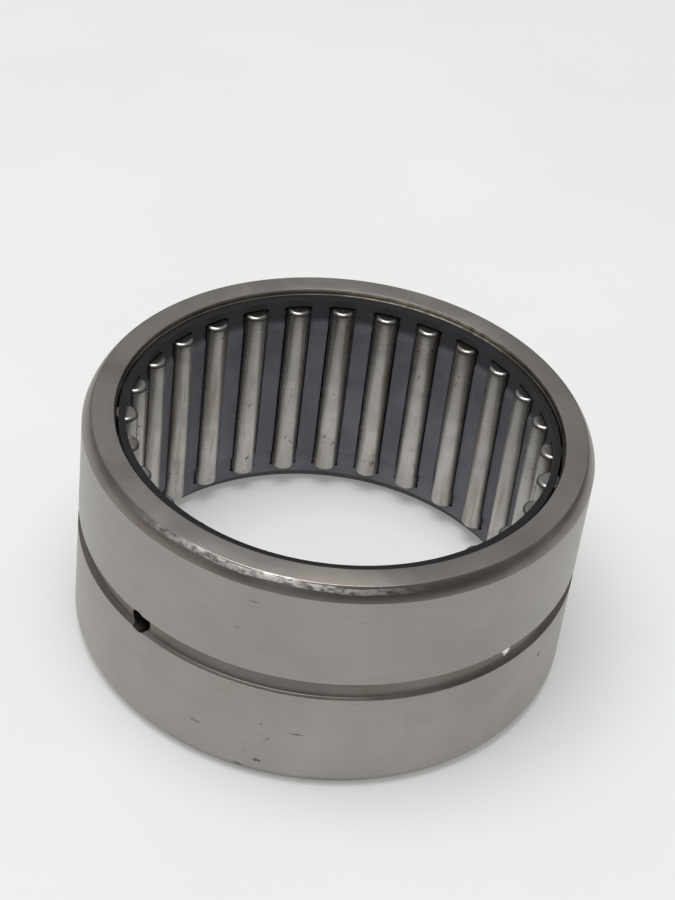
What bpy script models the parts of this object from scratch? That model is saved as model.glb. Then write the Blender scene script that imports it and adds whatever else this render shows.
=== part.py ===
"""Machined needle roller bearing without an inner ring.

A ribbed outer ring, a bent sheet-steel cage and 28 needle rollers, each a solid of its own.
Metres, +Z along the axis. The origin is the middle of the lower end face.
"""

import math

import bmesh
import bpy
from mathutils import Matrix

MM = 0.001

# Boundary dimensions: bore under the rollers, outside diameter and width
INSCRIBED_DIAMETER = 69.85 * MM
OUTSIDE_DIAMETER = 88.9 * MM
WIDTH = 44.45 * MM

# Rollers
ROLLER_COUNT = 28
ROLLER_DIAMETER = 4.6 * MM
ROLLER_LENGTH = 37.2 * MM
ROLLER_END_RADIUS = 0.7 * MM
FIRST_ROLLER_ANGLE = math.radians(3.5)
RUNNING_CLEARANCE = 0.07 * MM

# The cage and its rollers float between the ribs, and sit this far above the ring's middle
AXIAL_OFFSET = 0.85 * MM

# Outer ring
RIB_BORE_DIAMETER = 77.3 * MM
RIB_THICKNESS = 2.5 * MM
MOUTH_RADIAL = 0.42 * MM
MOUTH_AXIAL = 0.9 * MM
CORNER_RADIAL = 1.5 * MM
CORNER_AXIAL = 2.55 * MM
GROOVE_WIDTH = 3.75 * MM
GROOVE_DEPTH = 0.9 * MM
GROOVE_FLANK = 0.3 * MM
OIL_HOLE_DIAMETER = 4.4 * MM
OIL_HOLE_ANGLE = math.radians(228.5)

# Cage: a rim and the ends of the bars at the larger radius, the bars bent inwards between them
CAGE_LENGTH = 41.0 * MM
CAGE_SHEET = 1.15 * MM
END_OUTER_RADIUS = 38.25 * MM
BAR_OUTER_RADIUS = 37.85 * MM
END_HEIGHT = 4.6 * MM
BEND_HEIGHT = 1.2 * MM

# Cage pockets, with a wider notch at each end
POCKET_LENGTH = 37.6 * MM
POCKET_WIDTH = 4.94 * MM
NOTCH_WIDTH = 5.3 * MM
NOTCH_LENGTH = 0.8 * MM

# Facets: three to each roller pitch round the ring and the cage
RING_STEPS = 3 * ROLLER_COUNT
ROLLER_SIDES = 16
HOLE_SIDES = 20
CORNER_STEPS = 4
MOUTH_STEPS = 2
ROLLER_END_STEPS = 2
SHARP_ANGLE = math.radians(35)

# Sizes that follow from the ones above
OUTSIDE_RADIUS = OUTSIDE_DIAMETER / 2
ROLLER_RADIUS = ROLLER_DIAMETER / 2
PITCH_RADIUS = (INSCRIBED_DIAMETER + ROLLER_DIAMETER) / 2
RACEWAY_RADIUS = INSCRIBED_DIAMETER / 2 + ROLLER_DIAMETER + RUNNING_CLEARANCE
RIB_RADIUS = RIB_BORE_DIAMETER / 2
CAGE_MIDDLE = WIDTH / 2 + AXIAL_OFFSET
ROLLER_PITCH_ANGLE = 2 * math.pi / ROLLER_COUNT


def clear_scene():
    for obj in list(bpy.data.objects):
        bpy.data.objects.remove(obj, do_unlink=True)


def new_collection(name):
    collection = bpy.data.collections.new(name)
    bpy.context.scene.collection.children.link(collection)
    return collection


def steel(name, colour, roughness, metallic):
    material = bpy.data.materials.new(name)
    material.use_nodes = True
    shader = material.node_tree.nodes["Principled BSDF"]
    shader.inputs["Base Color"].default_value = (*colour, 1.0)
    shader.inputs["Roughness"].default_value = roughness
    shader.inputs["Metallic"].default_value = metallic
    return material


def object_from_bmesh(name, bm, collection):
    mesh = bpy.data.meshes.new(name)
    bm.to_mesh(mesh)
    bm.free()
    obj = bpy.data.objects.new(name, mesh)
    collection.objects.link(obj)
    return obj


def quarter_arc(centre, radii, start, steps):
    """Points of a quarter ellipse, turning clockwise from the start angle."""
    points = []
    for i in range(steps + 1):
        angle = start - math.pi / 2 * i / steps
        radius = centre[0] + radii[0] * math.cos(angle)
        height = centre[1] + radii[1] * math.sin(angle)
        points.append((radius, height))
    return points


def turned(name, profile, closed, steps, collection):
    """An object with its (radius, height) profile turned round Z by a Screw modifier."""
    bm = bmesh.new()
    corners = [bm.verts.new((radius, 0.0, height)) for radius, height in profile]
    ends = corners[1:] + corners[:1] if closed else corners[1:]
    for first, second in zip(corners, ends):
        bm.edges.new((first, second))
    obj = object_from_bmesh(name, bm, collection)
    screw = obj.modifiers.new("turn", "SCREW")
    screw.axis = "Z"
    screw.angle = 2 * math.pi
    screw.steps = steps
    screw.render_steps = steps
    screw.use_merge_vertices = True
    screw.merge_threshold = 0.000001
    return obj


def cut(obj, cutter, name):
    boolean = obj.modifiers.new(name, "BOOLEAN")
    boolean.operation = "DIFFERENCE"
    boolean.solver = "EXACT"
    boolean.object = cutter
    cutter.hide_render = True
    cutter.display_type = "WIRE"


def finish(obj, material):
    """Apply the modifiers, and shade smooth between the sharp edges."""
    graph = bpy.context.evaluated_depsgraph_get()
    mesh = bpy.data.meshes.new_from_object(obj.evaluated_get(graph))
    obj.modifiers.clear()
    obj.data = mesh
    mesh.name = obj.name
    mesh.materials.clear()
    mesh.materials.append(material)
    mesh.shade_smooth()
    mesh.set_sharp_from_angle(angle=SHARP_ANGLE)


def outer_ring_profile():
    """Down the outer side, in across the lower face and up through the raceway."""
    inner = OUTSIDE_RADIUS - CORNER_RADIAL
    radii = (CORNER_RADIAL, CORNER_AXIAL)
    upper_corner = quarter_arc((inner, WIDTH - CORNER_AXIAL), radii, math.pi / 2, CORNER_STEPS)
    lower_corner = quarter_arc((inner, CORNER_AXIAL), radii, 0.0, CORNER_STEPS)
    groove_top = (WIDTH + GROOVE_WIDTH) / 2
    groove_low = (WIDTH - GROOVE_WIDTH) / 2
    groove_floor = OUTSIDE_RADIUS - GROOVE_DEPTH
    groove = [
        (OUTSIDE_RADIUS, groove_top),
        (groove_floor, groove_top - GROOVE_FLANK),
        (groove_floor, groove_low + GROOVE_FLANK),
        (OUTSIDE_RADIUS, groove_low),
    ]
    mouth = RIB_RADIUS + MOUTH_RADIAL
    radii = (MOUTH_RADIAL, MOUTH_AXIAL)
    lower_mouth = quarter_arc((mouth, MOUTH_AXIAL), radii, -math.pi / 2, MOUTH_STEPS)
    upper_mouth = quarter_arc((mouth, WIDTH - MOUTH_AXIAL), radii, math.pi, MOUTH_STEPS)
    raceway = [
        (RIB_RADIUS, RIB_THICKNESS),
        (RACEWAY_RADIUS, RIB_THICKNESS),
        (RACEWAY_RADIUS, WIDTH - RIB_THICKNESS),
        (RIB_RADIUS, WIDTH - RIB_THICKNESS),
    ]
    return upper_corner + groove + lower_corner + lower_mouth + raceway + upper_mouth


def oil_hole_cutter(collection):
    bm = bmesh.new()
    length = OUTSIDE_RADIUS - RIB_RADIUS + 4 * MM
    middle = (OUTSIDE_RADIUS + RIB_RADIUS) / 2
    bmesh.ops.create_cone(
        bm,
        cap_ends=True,
        segments=HOLE_SIDES,
        radius1=OIL_HOLE_DIAMETER / 2,
        radius2=OIL_HOLE_DIAMETER / 2,
        depth=length,
        matrix=Matrix.Translation((middle, 0.0, WIDTH / 2)) @ Matrix.Rotation(math.pi / 2, 4, "Y"),
    )
    cutter = object_from_bmesh("oil_hole_cutter", bm, collection)
    cutter.rotation_euler.z = OIL_HOLE_ANGLE
    return cutter


def cage_profile():
    """Down the outer side and back up the inner: end, bend, bar, bend and end."""
    top = CAGE_MIDDLE + CAGE_LENGTH / 2
    low = CAGE_MIDDLE - CAGE_LENGTH / 2
    heights = [top, top - END_HEIGHT, top - END_HEIGHT - BEND_HEIGHT]
    heights += [low + END_HEIGHT + BEND_HEIGHT, low + END_HEIGHT, low]
    radii = [END_OUTER_RADIUS, END_OUTER_RADIUS, BAR_OUTER_RADIUS]
    radii += [BAR_OUTER_RADIUS, END_OUTER_RADIUS, END_OUTER_RADIUS]
    outside = list(zip(radii, heights))
    inside = [(radius - CAGE_SHEET, height) for radius, height in reversed(outside)]
    return outside + inside


def pocket_outline():
    """One pocket seen from the axis, as (sideways, height) points: a slot with notched ends."""
    half = POCKET_LENGTH / 2
    step = half - NOTCH_LENGTH
    quarter = [
        (POCKET_WIDTH / 2, step),
        (NOTCH_WIDTH / 2, step),
        (NOTCH_WIDTH / 2, half),
    ]
    right = [(x, -z) for x, z in reversed(quarter)] + quarter
    left = [(-x, z) for x, z in reversed(right)]
    return right + left


def pocket_cutter(collection):
    """All the pockets, each a slot that runs outwards through the sheet."""
    inner = BAR_OUTER_RADIUS - CAGE_SHEET - 1 * MM
    depth = END_OUTER_RADIUS + 1 * MM - inner
    bm = bmesh.new()
    for k in range(ROLLER_COUNT):
        corners = [bm.verts.new((inner, x, CAGE_MIDDLE + z)) for x, z in pocket_outline()]
        window = bm.faces.new(corners)
        raised = bmesh.ops.extrude_face_region(bm, geom=[window])
        outer = [item for item in raised["geom"] if isinstance(item, bmesh.types.BMVert)]
        bmesh.ops.translate(bm, verts=outer, vec=(depth, 0.0, 0.0))
        turn = Matrix.Rotation(k * ROLLER_PITCH_ANGLE, 3, "Z")
        bmesh.ops.rotate(bm, verts=corners + outer, cent=(0.0, 0.0, 0.0), matrix=turn)
    bmesh.ops.recalc_face_normals(bm, faces=bm.faces)
    return object_from_bmesh("pocket_cutter", bm, collection)


def roller_profile():
    """Down the outer side from the middle of the upper end to the middle of the lower end."""
    half = ROLLER_LENGTH / 2
    flat = ROLLER_RADIUS - ROLLER_END_RADIUS
    radii = (ROLLER_END_RADIUS, ROLLER_END_RADIUS)
    upper = quarter_arc((flat, half - ROLLER_END_RADIUS), radii, math.pi / 2, ROLLER_END_STEPS)
    lower = quarter_arc((flat, ROLLER_END_RADIUS - half), radii, 0.0, ROLLER_END_STEPS)
    return [(0.0, half)] + upper + lower + [(0.0, -half)]


def build_outer_ring(bearing, cutters, material):
    ring = turned("outer_ring", outer_ring_profile(), True, RING_STEPS, bearing)
    ring.rotation_euler.z = FIRST_ROLLER_ANGLE
    cut(ring, oil_hole_cutter(cutters), "oil_hole")
    finish(ring, material)


def build_cage(bearing, cutters, material):
    cage = turned("cage", cage_profile(), True, RING_STEPS, bearing)
    cage.rotation_euler.z = FIRST_ROLLER_ANGLE
    pockets = pocket_cutter(cutters)
    pockets.parent = cage
    cut(cage, pockets, "pockets")
    finish(cage, material)
    return cage


def build_rollers(bearing, material, cage):
    """Every roller's origin lies on its own axis, at its middle, and the cage carries it."""
    first = turned("needle_roller_01", roller_profile(), False, ROLLER_SIDES, bearing)
    finish(first, material)
    rollers = [first]
    for k in range(1, ROLLER_COUNT):
        roller = bpy.data.objects.new(f"needle_roller_{k + 1:02d}", first.data)
        bearing.objects.link(roller)
        rollers.append(roller)
    for k, roller in enumerate(rollers):
        angle = k * ROLLER_PITCH_ANGLE
        x = PITCH_RADIUS * math.cos(angle)
        y = PITCH_RADIUS * math.sin(angle)
        roller.location = (x, y, CAGE_MIDDLE)
        roller.rotation_euler.z = angle
        roller.parent = cage


def main():
    clear_scene()
    bearing = new_collection("needle_roller_bearing")
    cutters = new_collection("cutters")
    ring_steel = steel("ground_ring_steel", (0.36, 0.34, 0.32), 0.34, 1.0)
    cage_steel = steel("dark_cage_steel", (0.07, 0.075, 0.09), 0.5, 0.8)
    roller_steel = steel("polished_roller_steel", (0.52, 0.5, 0.47), 0.22, 1.0)
    build_outer_ring(bearing, cutters, ring_steel)
    cage = build_cage(bearing, cutters, cage_steel)
    build_rollers(bearing, roller_steel, cage)


main()
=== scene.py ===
import math

import bmesh
import bpy
from mathutils import Matrix, Vector


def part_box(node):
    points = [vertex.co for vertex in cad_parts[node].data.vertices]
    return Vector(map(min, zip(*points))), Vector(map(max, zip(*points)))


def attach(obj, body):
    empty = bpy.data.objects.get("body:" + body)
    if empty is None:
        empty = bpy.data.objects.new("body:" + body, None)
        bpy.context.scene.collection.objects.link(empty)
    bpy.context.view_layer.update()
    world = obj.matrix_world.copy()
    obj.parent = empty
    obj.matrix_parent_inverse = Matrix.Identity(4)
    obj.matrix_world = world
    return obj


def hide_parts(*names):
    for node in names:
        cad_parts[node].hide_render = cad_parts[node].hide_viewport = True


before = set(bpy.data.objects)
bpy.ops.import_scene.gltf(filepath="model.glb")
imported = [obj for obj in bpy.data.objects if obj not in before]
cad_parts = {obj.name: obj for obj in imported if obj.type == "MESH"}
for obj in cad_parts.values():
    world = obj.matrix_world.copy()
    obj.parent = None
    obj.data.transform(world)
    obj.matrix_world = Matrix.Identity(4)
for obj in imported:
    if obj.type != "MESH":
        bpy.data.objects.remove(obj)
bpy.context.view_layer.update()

MM = 0.001

# Sizes read from the frame
RING_LOW, RING_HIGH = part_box("outer_ring")
CAGE_LOW, CAGE_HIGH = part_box("cage")
OUTSIDE = RING_HIGH.x
WIDTH = RING_HIGH.z
MIDDLE = WIDTH / 2
ROLLERS = [f"needle_roller_{k + 1:02d}" for k in range(28)]
FIRST_ANGLE = math.radians(3.5)
PITCH_ANGLE = 2 * math.pi / len(ROLLERS)

RIB_R = 38.65 * MM
RACEWAY_R = 39.595 * MM
RIB_THICK = 2.5 * MM
OIL_HOLE_ANGLE = math.radians(228.5)
OIL_HOLE_R = 2.2 * MM
GROOVE_HALF_WIDTH = 1.875 * MM
GROOVE_DEPTH = 0.9 * MM
CORNER_RADIAL = 1.5 * MM
CORNER_AXIAL = 2.55 * MM
ROLLER_R = 2.3 * MM
ROLLER_CORNER = 0.7 * MM

RING_SEGMENTS = 336
ROLLER_SEGMENTS = 64


# ---------------------------------------------------------------- node helpers

class Tree:
    """Short calls for building a node tree."""

    def __init__(self, owner):
        owner.use_nodes = True
        self.tree = owner.node_tree
        self.tree.nodes.clear()

    def add(self, kind, inputs=None, **props):
        node = self.tree.nodes.new(kind)
        for key, value in props.items():
            setattr(node, key, value)
        for key, value in (inputs or {}).items():
            if isinstance(value, bpy.types.NodeSocket):
                self.tree.links.new(value, node.inputs[key])
            else:
                node.inputs[key].default_value = value
        return node

    def math(self, operation, *values, clamp=False):
        node = self.add("ShaderNodeMath", dict(enumerate(values)), operation=operation)
        node.use_clamp = clamp
        return node.outputs[0]

    def remap(self, value, low, high, to_low=0.0, to_high=1.0):
        inputs = {"Value": value, "From Min": low, "From Max": high, "To Min": to_low, "To Max": to_high}
        node = self.add("ShaderNodeMapRange", inputs, interpolation_type="SMOOTHSTEP")
        return node.outputs["Result"]

    def scaled(self, vector, scale, location=(0.0, 0.0, 0.0)):
        inputs = {"Vector": vector, "Scale": scale, "Location": location}
        return self.add("ShaderNodeMapping", inputs).outputs["Vector"]

    def noise(self, vector, scale, detail=3.0, roughness=0.5, distortion=0.0, w=None):
        inputs = {"Vector": vector, "Scale": scale, "Detail": detail, "Roughness": roughness}
        inputs["Distortion"] = distortion
        dimensions = "3D"
        if w is not None:
            inputs["W"] = w
            dimensions = "4D"
        node = self.add("ShaderNodeTexNoise", noise_dimensions=dimensions)
        for key, value in inputs.items():
            if isinstance(value, bpy.types.NodeSocket):
                self.tree.links.new(value, node.inputs[key])
            else:
                node.inputs[key].default_value = value
        return node.outputs["Fac"]

    def mix(self, factor, first, second, blend="MIX"):
        node = self.add("ShaderNodeMix", data_type="RGBA", blend_type=blend)
        sockets = [s for s in node.inputs if s.type == "RGBA"]
        for socket, value in ((node.inputs[0], factor), (sockets[0], first), (sockets[1], second)):
            if isinstance(value, bpy.types.NodeSocket):
                self.tree.links.new(value, socket)
            elif socket.type == "RGBA":
                socket.default_value = (*value, 1.0)
            else:
                socket.default_value = value
        return [s for s in node.outputs if s.type == "RGBA"][0]

    def tinted(self, colour, factor):
        """The colour, made lighter or darker by a factor."""
        grey = self.add("ShaderNodeCombineColor", {0: factor, 1: factor, 2: factor}).outputs[0]
        return self.mix(1.0, colour, grey, "MULTIPLY")

    def bump(self, height, strength, distance, normal=None):
        inputs = {"Height": height, "Strength": strength, "Distance": distance}
        if normal:
            inputs["Normal"] = normal
        return self.add("ShaderNodeBump", inputs).outputs["Normal"]

    def coordinates(self):
        """Object coordinates, and the distance from the Z axis."""
        vector = self.add("ShaderNodeTexCoord").outputs["Object"]
        parts = self.add("ShaderNodeSeparateXYZ", {0: vector}).outputs
        flat = self.add("ShaderNodeCombineXYZ", {"X": parts["X"], "Y": parts["Y"]}).outputs[0]
        radius = self.add("ShaderNodeVectorMath", {0: flat}, operation="LENGTH").outputs["Value"]
        return vector, parts, radius

    def principled(self, inputs):
        shader = self.add("ShaderNodeBsdfPrincipled", inputs)
        self.add("ShaderNodeOutputMaterial", {"Surface": shader.outputs[0]})


# ---------------------------------------------------------------- materials

def mark(t, vector, ragged, angle, height, length, tall):
    """A small ragged mark on the outside of the ring: 1 inside it, 0 outside.

    Length and tall are half its sizes, round the ring and along its axis."""
    place = (OUTSIDE * math.cos(angle), OUTSIDE * math.sin(angle), height)
    inputs = {"Vector": vector, "Location": place, "Rotation": (0.0, 0.0, angle)}
    inputs["Scale"] = (3 * MM, length, tall)
    local = t.add("ShaderNodeMapping", inputs, vector_type="TEXTURE").outputs["Vector"]
    fine = t.noise(vector, 1900.0, 2.0, 0.6)
    distance = t.add("ShaderNodeVectorMath", {0: local}, operation="LENGTH").outputs["Value"]
    rough_edge = t.math("MULTIPLY_ADD", t.math("ADD", fine, ragged), 2.0, distance)
    return t.remap(rough_edge, 2.6, 2.95, 1, 0)


def ring_steel(name, colour, stain, roughness, lines, line_scale, line_depth, stain_share=0.25,
               pits=0.0, anisotropy=0.5, cloud=0.08, seed=0.0, painted_highlight_strip=None, marks=()):
    """Machined bearing steel. Its lines run round the axis: spaced along it, or across it on a face.

    The highlight strip argument is a painted highlight, a lighter strip: the angle of its middle, its reach
    to each side, its two heights and its tone.
    Each of marks is an angle, a height, half a length and half a height in mm, a strength and a tone."""
    material = bpy.data.materials.new(name)
    t = Tree(material)
    vector, parts, radius = t.coordinates()
    across = radius if lines == "face" else parts["Z"]
    along = t.add("ShaderNodeCombineXYZ", {
        "X": t.math("MULTIPLY", parts["X"], 45.0),
        "Y": t.math("MULTIPLY", parts["Y"], 45.0),
        "Z": t.math("MULTIPLY", across, line_scale),
    }).outputs[0]
    grinding = t.noise(along, 1.0, 5.0, 0.7)
    long_lines = t.noise(t.scaled(along, (0.35, 0.35, 0.4), (seed, 3.0, 1.0)), 1.0, 3.0, 0.6)
    clouds = t.noise(t.scaled(vector, (1, 1, 1), (seed, 0.0, 0.0)), 55.0, 4.0, 0.55, 0.6)
    broad = t.noise(t.scaled(vector, (1, 1, 0.45), (seed, 5.0, 0.0)), 24.0, 3.0, 0.5, 0.4)
    fine = t.noise(vector, 2600.0, 2.0, 0.6)

    dark = tuple(c * (1 - cloud) for c in colour)
    light = tuple(min(1.0, c * (1 + cloud)) for c in colour)
    base = t.mix(t.remap(clouds, 0.35, 0.65), dark, light)
    streaks_and_painted_floor_light = t.remap(long_lines, 0.3, 0.7, 0.975, 1.02)
    # Painted light: every ring surface is made up to 13% lighter toward the bottom, for the bright floor it
    # reflects there.
    streaks_and_painted_floor_light = t.math("MULTIPLY", streaks_and_painted_floor_light, t.remap(parts["Z"], 0.004, 0.024, 1.13, 1.0))
    base = t.tinted(base, streaks_and_painted_floor_light)
    stained = t.math("MULTIPLY", t.remap(broad, 0.5, 0.72), stain_share)
    base = t.mix(stained, base, stain)
    if pits:
        spots = t.noise(t.scaled(vector, (1.0, 1.0, 1.6), (seed, 0.0, 2.0)), 420.0, 1.0, 0.4)
        where = t.noise(t.scaled(vector, (1.0, 1.0, 1.0), (0.0, seed, 4.0)), 46.0, 2.0, 0.5)
        pit = t.math("MULTIPLY", t.remap(spots, 0.75, 0.785), t.remap(where, 0.5, 0.6))
        pit = t.math("MULTIPLY", pit, pits)
        base = t.mix(pit, base, (0.05, 0.042, 0.036))

    dent = None
    for angle, height, length, tall, strength, tone in marks:
        spot = mark(t, vector, clouds, math.radians(angle), height * MM, length * MM, tall * MM)
        base = t.mix(t.math("MULTIPLY", spot, strength), base, tone)
        dent = t.math("MAXIMUM", spot, dent) if dent else spot
    # Painted highlight: a lighter strip in one sector between two heights, broken up by noise, for a lamp's
    # reflection.
    if painted_highlight_strip:
        angle, reach, low, high, tone = painted_highlight_strip
        toward = t.math("ADD", t.math("MULTIPLY", parts["X"], math.cos(math.radians(angle))),
                        t.math("MULTIPLY", parts["Y"], math.sin(math.radians(angle))))
        sector = t.remap(t.math("DIVIDE", toward, radius), math.cos(math.radians(reach)), 0.995)
        height = t.math("SUBTRACT", parts["Z"], t.math("MULTIPLY", t.math("SUBTRACT", clouds, 0.5), 0.0012))
        below = t.remap(height, high, high + 0.00015, 1, 0)
        level = t.math("MULTIPLY", t.remap(height, low, low + 0.0002), below)
        broken = t.remap(t.noise(t.scaled(vector, (1.0, 1.0, 2.2)), 620.0, 4.0, 0.65), 0.34, 0.62)
        painted_highlight = t.math("MULTIPLY", t.math("MULTIPLY", sector, level), broken)
        base = t.mix(painted_highlight, base, tone)

    rough = t.math("MULTIPLY_ADD", t.remap(grinding, 0.3, 0.7), 0.06, roughness - 0.03)
    rough = t.math("MULTIPLY_ADD", t.remap(clouds, 0.3, 0.7), 0.08, rough)
    rough = t.math("MULTIPLY_ADD", stained, 0.18, rough, clamp=True)
    normal = t.bump(grinding, 0.5, line_depth)
    normal = t.bump(fine, 0.12, 0.000004, normal)
    if pits:
        normal = t.bump(t.math("SUBTRACT", 1.0, pit), 0.6, 0.00003, normal)
    if dent:
        normal = t.bump(t.math("SUBTRACT", 1.0, dent), 0.6, 0.00004, normal)
    tangent = t.add("ShaderNodeTangent", direction_type="RADIAL", axis="Z").outputs[0]
    t.principled({"Base Color": base, "Metallic": 1.0, "Roughness": rough, "Normal": normal,
                  "Anisotropic": anisotropy, "Anisotropic Rotation": 0.25, "Tangent": tangent})
    return material


def cage_steel():
    """Blue-black phosphated sheet steel: matt, mottled, lighter along its edges from edge wear and painted
    highlight, with painted shade and a painted highlight band at its upper end.
    """
    material = bpy.data.materials.new("cage_phosphated_steel")
    t = Tree(material)
    vector, parts, _ = t.coordinates()
    mottle = t.noise(vector, 900.0, 4.0, 0.6)
    clouds = t.noise(vector, 90.0, 3.0, 0.55, 0.5)
    drawn = t.noise(t.scaled(vector, (700.0, 700.0, 60.0)), 1.0, 3.0, 0.6)
    base = t.mix(t.remap(clouds, 0.35, 0.65), (0.128, 0.135, 0.156), (0.170, 0.177, 0.200))
    base = t.mix(t.remap(mottle, 0.45, 0.75, 0.0, 0.35), base, (0.20, 0.20, 0.215))
    # Partly edge wear, partly painted highlight: convex edges are made lighter, as edges that catch the
    # light.
    edge = t.add("ShaderNodeNewGeometry").outputs["Pointiness"]
    edge_wear_and_highlight = t.math("MULTIPLY", t.remap(edge, 0.53, 0.60), t.remap(drawn, 0.3, 0.6, 0.35, 0.9))
    base = t.mix(edge_wear_and_highlight, base, (0.20, 0.20, 0.205))
    # Painted shade: the upper end of the cage is made much darker than its middle and lower end.
    rim = t.remap(parts["Z"], 0.0372, 0.0400)
    base = t.mix(t.math("MULTIPLY", rim, 0.80), base, (0.038, 0.038, 0.043))
    # Painted highlight: a lighter band along the upper bend of the cage.
    bend = t.math("MULTIPLY", t.remap(parts["Z"], 0.0368, 0.0376), t.remap(parts["Z"], 0.0380, 0.0388, 1, 0))
    base = t.mix(t.math("MULTIPLY", bend, 0.25), base, (0.30, 0.30, 0.32))
    rough = t.math("MULTIPLY_ADD", t.remap(mottle, 0.3, 0.7), 0.14, 0.40)
    rough = t.math("MULTIPLY_ADD", t.remap(drawn, 0.3, 0.7), 0.06, rough)
    # Painted shade: upward-facing faces at the upper end are made nearly black.
    facing = t.add("ShaderNodeTexCoord").outputs["Normal"]
    upward = t.remap(t.add("ShaderNodeSeparateXYZ", {0: facing}).outputs["Z"], 0.4, 0.9)
    base = t.mix(t.math("MULTIPLY", t.math("MULTIPLY", upward, rim), 0.92), base, (0.010, 0.010, 0.012))
    rough = t.math("MULTIPLY_ADD", rim, 0.15, rough, clamp=True)
    metal = t.math("MULTIPLY_ADD", rim, -0.45, 0.5)
    normal = t.bump(mottle, 0.25, 0.000008)
    normal = t.bump(drawn, 0.2, 0.000006, normal)
    t.principled({"Base Color": base, "Metallic": metal, "Specular IOR Level": 0.15,
                  "Roughness": rough, "Normal": normal})
    return material


def roller_steel():
    """Ground roller steel, with brown streaking along it and a few dark marks, unlike on each roller; painted
    light makes it lighter toward its lower end and darker toward its upper end.
    """
    material = bpy.data.materials.new("roller_ground_steel")
    t = Tree(material)
    vector, parts, _ = t.coordinates()
    seed = t.add("ShaderNodeAttribute", attribute_name="roller_seed").outputs["Fac"]
    along = t.scaled(vector, (420.0, 420.0, 38.0))
    streak = t.noise(along, 1.0, 3.0, 0.55, 0.15, w=seed)
    thin = t.noise(t.scaled(vector, (1500.0, 1500.0, 55.0)), 1.0, 3.0, 0.6, 0.1, w=seed)
    around = t.noise(t.scaled(vector, (60.0, 60.0, 2600.0)), 1.0, 4.0, 0.6)
    clouds = t.noise(vector, 170.0, 3.0, 0.5, 0.4, w=seed)
    base = t.mix(t.remap(clouds, 0.35, 0.65), (0.355, 0.342, 0.326), (0.43, 0.416, 0.398))
    brown = t.remap(streak, 0.50, 0.68, 0.0, 0.62)
    base = t.mix(brown, base, (0.235, 0.185, 0.14))
    line = t.remap(thin, 0.63, 0.74, 0.0, 0.4)
    base = t.mix(line, base, (0.10, 0.08, 0.065))
    spots = t.noise(t.scaled(vector, (1.0, 1.0, 0.6)), 1150.0, 2.0, 0.55, w=seed)
    near_ends = t.remap(t.math("ABSOLUTE", parts["Z"]), 0.005, 0.0165, 0.30, 1.0)
    where = t.remap(t.noise(t.scaled(vector, (1.0, 1.0, 0.5)), 210.0, 2.0, 0.5, w=seed), 0.46, 0.58)
    marks = t.math("MULTIPLY", t.remap(spots, 0.60, 0.70), t.math("MULTIPLY", near_ends, where))
    base = t.mix(t.math("MULTIPLY", marks, 0.8), base, (0.05, 0.04, 0.035))
    # Painted light: each roller is lighter toward its lower end and darker toward its upper end, for the
    # bright floor below and the dark rollers opposite that it reflects.
    shade = t.remap(parts["Z"], -0.012, 0.019, 1.12, 0.80)
    base = t.tinted(base, shade)
    rough = t.math("MULTIPLY_ADD", t.remap(around, 0.3, 0.7), 0.015, 0.26)
    rough = t.math("MULTIPLY_ADD", brown, 0.12, rough)
    rough = t.math("MULTIPLY_ADD", marks, 0.25, rough, clamp=True)
    normal = t.bump(t.math("SUBTRACT", 1.0, marks), 0.25, 0.000003)
    tangent = t.add("ShaderNodeTangent", direction_type="RADIAL", axis="Z").outputs[0]
    t.principled({"Base Color": base, "Metallic": 1.0, "Roughness": rough, "Normal": normal,
                  "Anisotropic": 0.05, "Anisotropic Rotation": 0.25, "Tangent": tangent})
    return material


def paper():
    material = bpy.data.materials.new("floor_paper")
    t = Tree(material)
    vector = t.add("ShaderNodeTexCoord").outputs["Object"]
    clouds = t.noise(vector, 9.0, 4.0, 0.5)
    grain = t.noise(vector, 1500.0, 3.0, 0.6)
    base = t.mix(t.remap(clouds, 0.3, 0.7), (0.56, 0.564, 0.56), (0.59, 0.594, 0.59))
    rough = t.remap(grain, 0.3, 0.7, 0.82, 0.95)
    # Painted light: the paper glows a little though it is no lamp, lifting the shadows round and under the
    # ring.
    t.principled({"Base Color": base, "Roughness": rough, "Normal": t.bump(grain, 0.1, 0.00002),
                  "Emission Color": (1.0, 1.0, 0.99, 1.0), "Emission Strength": 0.22})
    return material


# ---------------------------------------------------------------- mesh helpers

def link(obj):
    bpy.context.scene.collection.objects.link(obj)
    return obj


def mesh_object(name, vertices, faces, materials, indices=None):
    mesh = bpy.data.meshes.new(name)
    mesh.from_pydata(vertices, [], faces)
    for material in materials:
        mesh.materials.append(material)
    if indices:
        mesh.polygons.foreach_set("material_index", indices)
    mesh.update()
    return link(bpy.data.objects.new(name, mesh))


def fillet(corners, steps=4):
    """A closed outline of (radius, height, fillet radius, zone) corners, each replaced by an arc."""
    points = []
    count = len(corners)
    for i, (r, z, size, zone) in enumerate(corners):
        here = Vector((r, z))
        before = Vector(corners[i - 1][:2]) - here
        after = Vector(corners[(i + 1) % count][:2]) - here
        if size == 0:
            points.append((here.x, here.y, zone))
            continue
        half = before.angle(after) / 2
        reach = min(size / math.tan(half), 0.48 * before.length, 0.48 * after.length)
        size = reach * math.tan(half)
        middle = (before.normalized() + after.normalized()).normalized()
        centre = here + middle * (size / math.sin(half))
        start = here + before.normalized() * reach - centre
        end = here + after.normalized() * reach - centre
        turn = start.angle_signed(end)
        for k in range(steps + 1):
            rotated = start.copy()
            rotated.rotate(Matrix.Rotation(-turn * k / steps, 2))
            point = centre + rotated
            points.append((point.x, point.y, zone))
    return points


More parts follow.
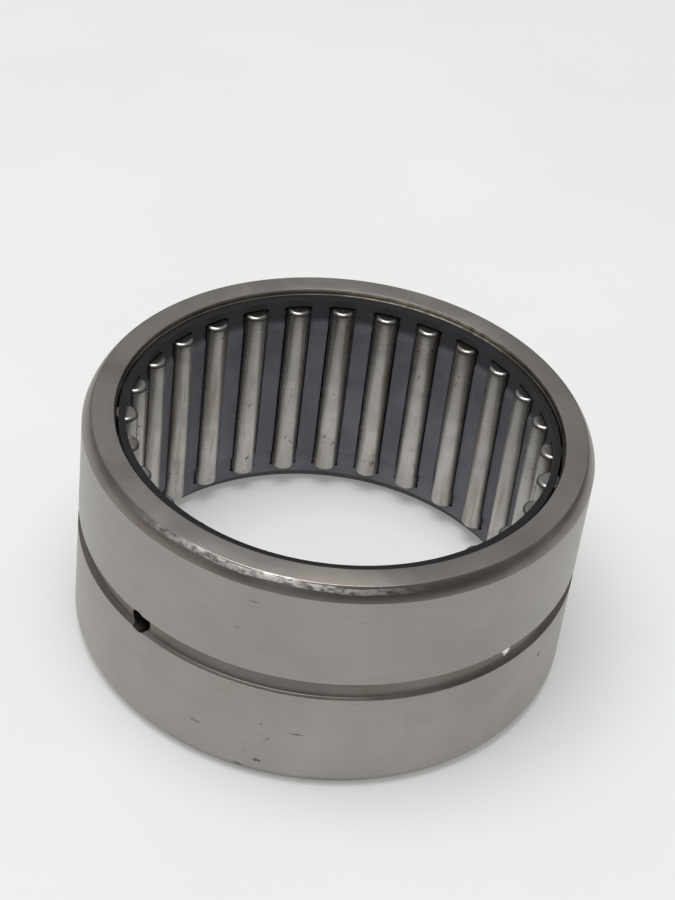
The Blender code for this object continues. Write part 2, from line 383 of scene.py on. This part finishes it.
def lathe(name, outline, segments, materials):
    """A closed outline of (radius, height, zone) points turned round Z, all quads."""
    count = len(outline)
    vertices, faces, indices = [], [], []
    for s in range(segments):
        angle = 2 * math.pi * s / segments
        c, d = math.cos(angle), math.sin(angle)
        vertices += [(r * c, r * d, z) for r, z, _ in outline]
    for s in range(segments):
        a, b = s * count, (s + 1) % segments * count
        for i in range(count):
            j = (i + 1) % count
            faces.append((a + i, a + j, b + j, b + i))
            indices.append(outline[i][2])
    return mesh_object(name, vertices, faces, materials, indices)


def apply_modifiers(obj, sharp):
    graph = bpy.context.evaluated_depsgraph_get()
    mesh = bpy.data.meshes.new_from_object(obj.evaluated_get(graph))
    obj.modifiers.clear()
    obj.data = mesh
    mesh.name = obj.name
    smooth(obj, sharp)


def smooth(obj, sharp):
    obj.data.shade_smooth()
    obj.data.set_sharp_from_angle(angle=math.radians(sharp))


# ---------------------------------------------------------------- outer ring

OD, CORNER, FACE, MOUTH, GROOVE, INSIDE = range(6)


def corner_arc():
    """The outer corner, from the end face to the outside: a chamfer with a slight bow."""
    first, last, steps = math.radians(58), math.radians(26), 10
    points = []
    for k in range(steps + 1):
        angle = first + (last - first) * k / steps
        across = (math.cos(angle) - math.cos(first)) / (math.cos(last) - math.cos(first))
        down = (math.sin(first) - math.sin(angle)) / (math.sin(first) - math.sin(last))
        points.append((OUTSIDE - CORNER_RADIAL * (1 - across), WIDTH - CORNER_AXIAL * down))
    return points


def ring_outline():
    arc = corner_arc()
    groove = MIDDLE + GROOVE_HALF_WIDTH
    top = [(*arc[0], 0.3 * MM, CORNER)]
    top += [(r, z, 0, CORNER) for r, z in arc[1:-1]]
    top += [(*arc[-1], 0.12 * MM, OD)]
    top += [(OUTSIDE, groove, 0.05 * MM, GROOVE)]
    top += [(OUTSIDE - GROOVE_DEPTH, groove - 0.18 * MM, 0.45 * MM, GROOVE)]
    mouth = [
        (RACEWAY_R, WIDTH - RIB_THICK, 0.12 * MM, INSIDE),
        (RIB_R, WIDTH - RIB_THICK, 0.06 * MM, INSIDE),
        (RIB_R, WIDTH - 1.45 * MM, 0.08 * MM, MOUTH),
        (38.78 * MM, WIDTH - 1.05 * MM, 0.05 * MM, MOUTH),
        (38.86 * MM, WIDTH - 0.95 * MM, 0.06 * MM, MOUTH),
        (38.92 * MM, WIDTH - 0.42 * MM, 0.08 * MM, MOUTH),
        (39.07 * MM, WIDTH, 0.06 * MM, FACE),
    ]
    lower = []
    for i in range(len(top) - 1, -1, -1):
        r, z, size, _ = top[i]
        previous = top[i - 1][3] if i else FACE
        # Painted light: the lower corner takes the lighter outside steel instead of the darker corner steel
        # of the upper corner, for the bright floor beside it.
        previous = OD if previous == CORNER else previous
        lower.append((r, WIDTH - z, size, previous))
    lower_mouth = []
    for i in range(len(mouth) - 1, -1, -1):
        r, z, size, _ = mouth[i]
        lower_mouth.append((r, WIDTH - z, size, INSIDE))
    return fillet(top + lower + lower_mouth + mouth)


def make_ring():
    warm = (0.20, 0.15, 0.115)
    dark = (0.035, 0.032, 0.03)
    # A near-white tone for painted glints.
    painted_highlight = (1.0, 0.98, 0.95)
    materials = [
        ring_steel("ring_ground_outside", (0.345, 0.328, 0.310), (0.315, 0.265, 0.222), 0.33, "side",
                   line_scale=5200.0, line_depth=0.0000007, stain_share=0.45, pits=0.3,
                   anisotropy=0.55, cloud=0.07, seed=1.7, marks=[
                       (257, 1.9, 1.1, 0.40, 0.85, dark), (261, 4.0, 0.75, 0.36, 0.7, dark),
                       (269, 11.8, 1.5, 0.22, 0.6, dark), (257, 39.0, 1.3, 0.2, 0.4, dark),
                       (246, 8.3, 1.6, 0.35, 0.35, dark), (254, 32.5, 0.5, 0.25, 0.4, dark),
                       (331, 15.5, 0.6, 0.55, 0.9, dark), (334, 19.0, 0.45, 0.4, 0.6, dark),
                       (343, 28.8, 0.6, 0.5, 0.9, dark)]),
        ring_steel("ring_turned_corner", (0.250, 0.223, 0.203), warm, 0.30, "side",
                   line_scale=9000.0, line_depth=0.000005, stain_share=0.5, pits=0.3,
                   anisotropy=0.4, cloud=0.16, seed=4.1,
                   # The upper corner's near-white strip at 258 degrees is a painted highlight of the lamp.
                   painted_highlight_strip=(258, 37, 0.0434, 0.0442, (1.0, 0.97, 0.94))),
        ring_steel("ring_ground_face", (0.322, 0.306, 0.286), (0.27, 0.23, 0.19), 0.32, "face",
                   line_scale=5200.0, line_depth=0.000002, stain_share=0.4, pits=0.2,
                   anisotropy=0.45, cloud=0.10, seed=7.3),
        ring_steel("ring_turned_mouth", (0.50, 0.455, 0.385), (0.12, 0.09, 0.06), 0.27, "side",
                   line_scale=4000.0, line_depth=0.00006, stain_share=0.5, pits=0.0,
                   anisotropy=0.4, cloud=0.25, seed=2.9,
                   # The mouth's strip of cream lines at 69 degrees is a painted highlight.
                   painted_highlight_strip=(69, 33, 0.0425, 0.0448, (1.0, 0.90, 0.70))),
        ring_steel("ring_turned_groove", (0.20, 0.184, 0.166), warm, 0.34, "side",
                   line_scale=12000.0, line_depth=0.000006, stain_share=0.5, pits=0.0,
                   anisotropy=0.4, cloud=0.14, seed=5.7, marks=[
                       # The near-white mark at 318 degrees is a dent with a painted glint; the one at 325.5
                       # degrees is a dark mark.
                       (318, 22.2, 1.0, 0.9, 1.0, painted_highlight), (325.5, 23.4, 0.7, 0.7, 0.9, dark)]),
        # Painted shade: the inside of the ring (raceway, the rib's undersides and the lower mouth) gets a
        # dark steel, far darker than ground steel, for the shade behind and between the rollers.
        ring_steel("ring_raceway", (0.14, 0.13, 0.12), warm, 0.22, "side",
                   line_scale=6000.0, line_depth=0.000002, stain_share=0.2, pits=0.0,
                   anisotropy=0.4, cloud=0.06, seed=9.1),
    ]
    ring = lathe("ring_body", ring_outline(), RING_SEGMENTS, materials)
    bm = bmesh.new()
    reach = Matrix.Rotation(OIL_HOLE_ANGLE, 4, "Z") @ Matrix.Translation((42 * MM, 0, MIDDLE))
    bmesh.ops.create_cone(bm, cap_ends=True, segments=56, radius1=OIL_HOLE_R, radius2=OIL_HOLE_R,
                          depth=8 * MM, matrix=reach @ Matrix.Rotation(math.pi / 2, 4, "Y"))
    mesh = bpy.data.meshes.new("oil_hole_cutter")
    bm.to_mesh(mesh)
    bm.free()
    mesh.materials.append(materials[GROOVE])
    cutter = link(bpy.data.objects.new("oil_hole_cutter", mesh))
    boolean = ring.modifiers.new("oil_hole", "BOOLEAN")
    boolean.object = cutter
    boolean.solver = "EXACT"
    boolean.material_mode = "TRANSFER"
    apply_modifiers(ring, 28)
    bpy.data.objects.remove(cutter)
    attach(ring, "outer_ring")
    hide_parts("outer_ring")
    return ring


# ---------------------------------------------------------------- cage

END_R = 38.25 * MM
BAR_R = 37.85 * MM
SHEET = 1.15 * MM
POCKET_END = 1.7 * MM
POCKET_HALF = 2.45 * MM
NOTCH_HALF = 2.62 * MM
NOTCH_END = 2.5 * MM
NOTCH_CORNER = 0.5 * MM
BEND_START = 4.6 * MM
BEND_END = 5.9 * MM


def blend(t):
    t = max(0.0, min(1.0, t))
    return t * t * (3 - 2 * t)


def half_width(h):
    """Half the width of a pocket, h from the cage's end."""
    inside = h - POCKET_END
    if inside < NOTCH_CORNER:
        gap = NOTCH_CORNER - inside
        return NOTCH_HALF - NOTCH_CORNER + math.sqrt(max(0.0, NOTCH_CORNER ** 2 - gap ** 2))
    return NOTCH_HALF + (POCKET_HALF - NOTCH_HALF) * blend((h - NOTCH_END + 0.25 * MM) / (0.4 * MM))


def cage_rows():
    """Heights from the cage's end down to its middle, closer together where the shape turns."""
    rim = [0.0, 0.4, 0.85, 1.3]
    corner = [1.7 + 0.5 * (1 - math.cos(math.radians(90 * k / 6))) for k in range(7)]
    notch = [2.33, 2.45, 2.57, 2.69, 2.85, 3.3, 3.85, 4.2]
    bend = [4.45 + 1.65 * k / 12 for k in range(13)]
    bar = [6.7, 8.0, 9.9, 12.2, 14.7, 17.5]
    return [MM * h for h in rim + corner + notch + bend + bar]


def cage_radius(h):
    return END_R + (BAR_R - END_R) * blend((h - BEND_START) / (BEND_END - BEND_START))


def make_cage():
    half_length = (CAGE_HIGH.z - CAGE_LOW.z) / 2
    centre = (CAGE_HIGH.z + CAGE_LOW.z) / 2
    upper = cage_rows()
    rows = [(h, 1) for h in upper] + [(half_length, 1)] + [(h, -1) for h in reversed(upper)]
    first_open = upper.index(min(upper, key=lambda h: abs(h - POCKET_END)))
    last_open = len(rows) - 1 - first_open
    across, over = 7, 10
    columns = across + over
    total = columns * len(ROLLERS)
    inner_shift = 0.15 * MM
    vertices, index = [], {}
    for side in (0, 1):
        for i, (h, sign) in enumerate(rows):
            shifted = h + inner_shift * side if h > 2 * MM else h
            radius = cage_radius(shifted) - SHEET * side
            z = centre + sign * (half_length - h)
            width = half_width(max(h, POCKET_END))
            open_half = math.asin(width / radius)
            for k in range(len(ROLLERS)):
                start = FIRST_ANGLE + k * PITCH_ANGLE
                for c in range(columns):
                    if c < over:
                        angle = start + math.asin(width * (2 * c / over - 1) / radius)
                    else:
                        share = (c - over) / across
                        angle = start + open_half + share * (PITCH_ANGLE - 2 * open_half)
                    index[side, i, k * columns + c] = len(vertices)
                    vertices.append((radius * math.cos(angle), radius * math.sin(angle), z))
    faces = []
    for i in range(len(rows) - 1):
        for c in range(total):
            d = (c + 1) % total
            in_pocket = c % columns < over
            if in_pocket and first_open <= i < last_open:
                continue
            faces.append([index[0, i, c], index[0, i + 1, c], index[0, i + 1, d], index[0, i, d]])
            faces.append([index[1, i, c], index[1, i, d], index[1, i + 1, d], index[1, i + 1, c]])
    for c in range(total):
        d = (c + 1) % total
        last = len(rows) - 1
        faces.append([index[0, 0, c], index[0, 0, d], index[1, 0, d], index[1, 0, c]])
        faces.append([index[0, last, c], index[1, last, c], index[1, last, d], index[0, last, d]])
        if c % columns < over:
            i, j = first_open, last_open
            faces.append([index[0, i, c], index[1, i, c], index[1, i, d], index[0, i, d]])
            faces.append([index[0, j, c], index[0, j, d], index[1, j, d], index[1, j, c]])
    for k in range(len(ROLLERS)):
        left = k * columns
        right = left + over
        for i in range(first_open, last_open):
            faces.append([index[0, i, left], index[1, i, left], index[1, i + 1, left], index[0, i + 1, left]])
            faces.append([index[0, i, right], index[0, i + 1, right], index[1, i + 1, right],
                          index[1, i, right]])
    used = sorted({v for face in faces for v in face})
    renumber = {v: n for n, v in enumerate(used)}
    vertices = [vertices[v] for v in used]
    faces = [[renumber[v] for v in face] for face in faces]
    cage = mesh_object("cage_body", vertices, faces, [cage_steel()])
    bm = bmesh.new()
    bm.from_mesh(cage.data)
    bmesh.ops.recalc_face_normals(bm, faces=bm.faces)
    bm.to_mesh(cage.data)
    bm.free()
    bevel = cage.modifiers.new("edges", "BEVEL")
    bevel.width = 0.07 * MM
    bevel.segments = 2
    bevel.limit_method = "ANGLE"
    bevel.angle_limit = math.radians(50)
    apply_modifiers(cage, 40)
    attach(cage, "cage")
    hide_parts("cage")
    return cage


# ---------------------------------------------------------------- rollers

def roller_mesh(name, half, seed, material):
    """A roller about its own axis, with slightly domed ends and rounded corners."""
    radius, corner = ROLLER_R, ROLLER_CORNER
    flat = radius - corner
    profile = [(flat * share, half - 0.03 * MM * (1 - share ** 2)) for share in (0.25, 0.5, 0.75, 0.9)]
    for k in range(9):
        angle = math.radians(90 - 90 * k / 8)
        profile.append((flat + corner * math.cos(angle), half - corner + corner * math.sin(angle)))
    for share in (0.9, 0.8, 0.6, 0.3):
        profile.append((radius, half * share))
    profile += [(r, -z) for r, z in reversed(profile)]
    segments = ROLLER_SEGMENTS
    vertices = [(0.0, 0.0, half - 0.03 * MM)]
    for r, z in profile:
        for s in range(segments):
            angle = 2 * math.pi * s / segments
            vertices.append((r * math.cos(angle), r * math.sin(angle), z))
    vertices.append((0.0, 0.0, -half + 0.03 * MM))
    last = len(vertices) - 1
    faces = []
    for s in range(segments):
        n = (s + 1) % segments
        faces.append((0, 1 + s, 1 + n))
        for p in range(len(profile) - 1):
            a, b = 1 + p * segments, 1 + (p + 1) * segments
            faces.append((a + s, b + s, b + n, a + n))
        a = 1 + (len(profile) - 1) * segments
        faces.append((last, a + n, a + s))
    roller = mesh_object(name, vertices, faces, [material])
    attribute = roller.data.attributes.new("roller_seed", "FLOAT", "POINT")
    attribute.data.foreach_set("value", [seed] * len(vertices))
    smooth(roller, 35)
    return roller


def make_rollers():
    material = roller_steel()
    for k, node in enumerate(ROLLERS):
        low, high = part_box(node)
        centre = (low + high) / 2
        half = (high.z - low.z) / 2
        roller = roller_mesh(f"roller_{k + 1:02d}", half, 3.1 + 1.73 * k, material)
        roller.location = centre
        roller.rotation_euler.z = FIRST_ANGLE + k * PITCH_ANGLE
        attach(roller, node)
        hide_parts(node)


# ---------------------------------------------------------------- stage

def make_floor():
    bm = bmesh.new()
    bmesh.ops.create_grid(bm, x_segments=8, y_segments=8, size=3.0)
    mesh = bpy.data.meshes.new("floor")
    bm.to_mesh(mesh)
    bm.free()
    mesh.materials.append(paper())
    floor = link(bpy.data.objects.new("floor", mesh))
    floor.location.z = RING_LOW.z - 0.02 * MM


def make_light():
    lamp = bpy.data.lights.new("overhead", "AREA")
    lamp.shape = "DISK"
    lamp.size = 1.0
    lamp.energy = 13.8
    lamp.color = (1.0, 0.995, 0.985)
    obj = link(bpy.data.objects.new("overhead", lamp))
    obj.location = Vector((-0.14, -0.12, 1.27))
    obj.rotation_euler = obj.location.to_track_quat("Z", "Y").to_euler()
    world = bpy.data.worlds.new("studio")
    bpy.context.scene.world = world
    t = Tree(world)
    direction = t.add("ShaderNodeTexCoord").outputs["Generated"]
    parts = t.add("ShaderNodeSeparateXYZ", {0: direction}).outputs
    level = t.remap(parts["Z"], -0.1, 0.95, 0.17, 0.50)
    back = t.math("MULTIPLY", t.remap(parts["Y"], -0.9, 0.5, 0.60, 1.05), level)
    side = t.math("MULTIPLY", t.remap(parts["X"], -0.9, 0.9, 1.14, 0.90), back)
    colour = t.add("ShaderNodeCombineColor", {0: side, 1: side, 2: t.math("MULTIPLY", side, 1.01)})
    sky = t.add("ShaderNodeBackground", {"Color": colour.outputs[0], "Strength": 1.0})
    t.add("ShaderNodeOutputWorld", {"Surface": sky.outputs[0]})


def make_camera():
    """The viewing angle: from the front, 40 degrees up, rolled 7 degrees."""
    distance = 392.56 * MM
    elevation, tilt_angle, roll_angle = (math.radians(angle) for angle in (39.90, 1.744, 7.301))
    target = Vector((0, 0, MIDDLE))
    place = target + distance * Vector((0, -math.cos(elevation), math.sin(elevation)))
    camera = bpy.data.cameras.new("camera")
    camera.lens = 87.93
    camera.sensor_width = 36.0
    camera.clip_start = 0.01
    obj = link(bpy.data.objects.new("camera", camera))
    look = (target - place).to_track_quat("-Z", "Y").to_matrix().to_4x4()
    tilt = Matrix.Rotation(tilt_angle, 4, "X")
    roll = Matrix.Rotation(roll_angle, 4, "Z")
    obj.matrix_world = Matrix.Translation(place) @ look @ tilt @ roll
    bpy.context.scene.camera = obj


make_ring()
make_cage()
make_rollers()
make_floor()
make_light()
make_camera()
bpy.context.scene.view_settings.view_transform = "Standard"


bpy.context.view_layer.update()
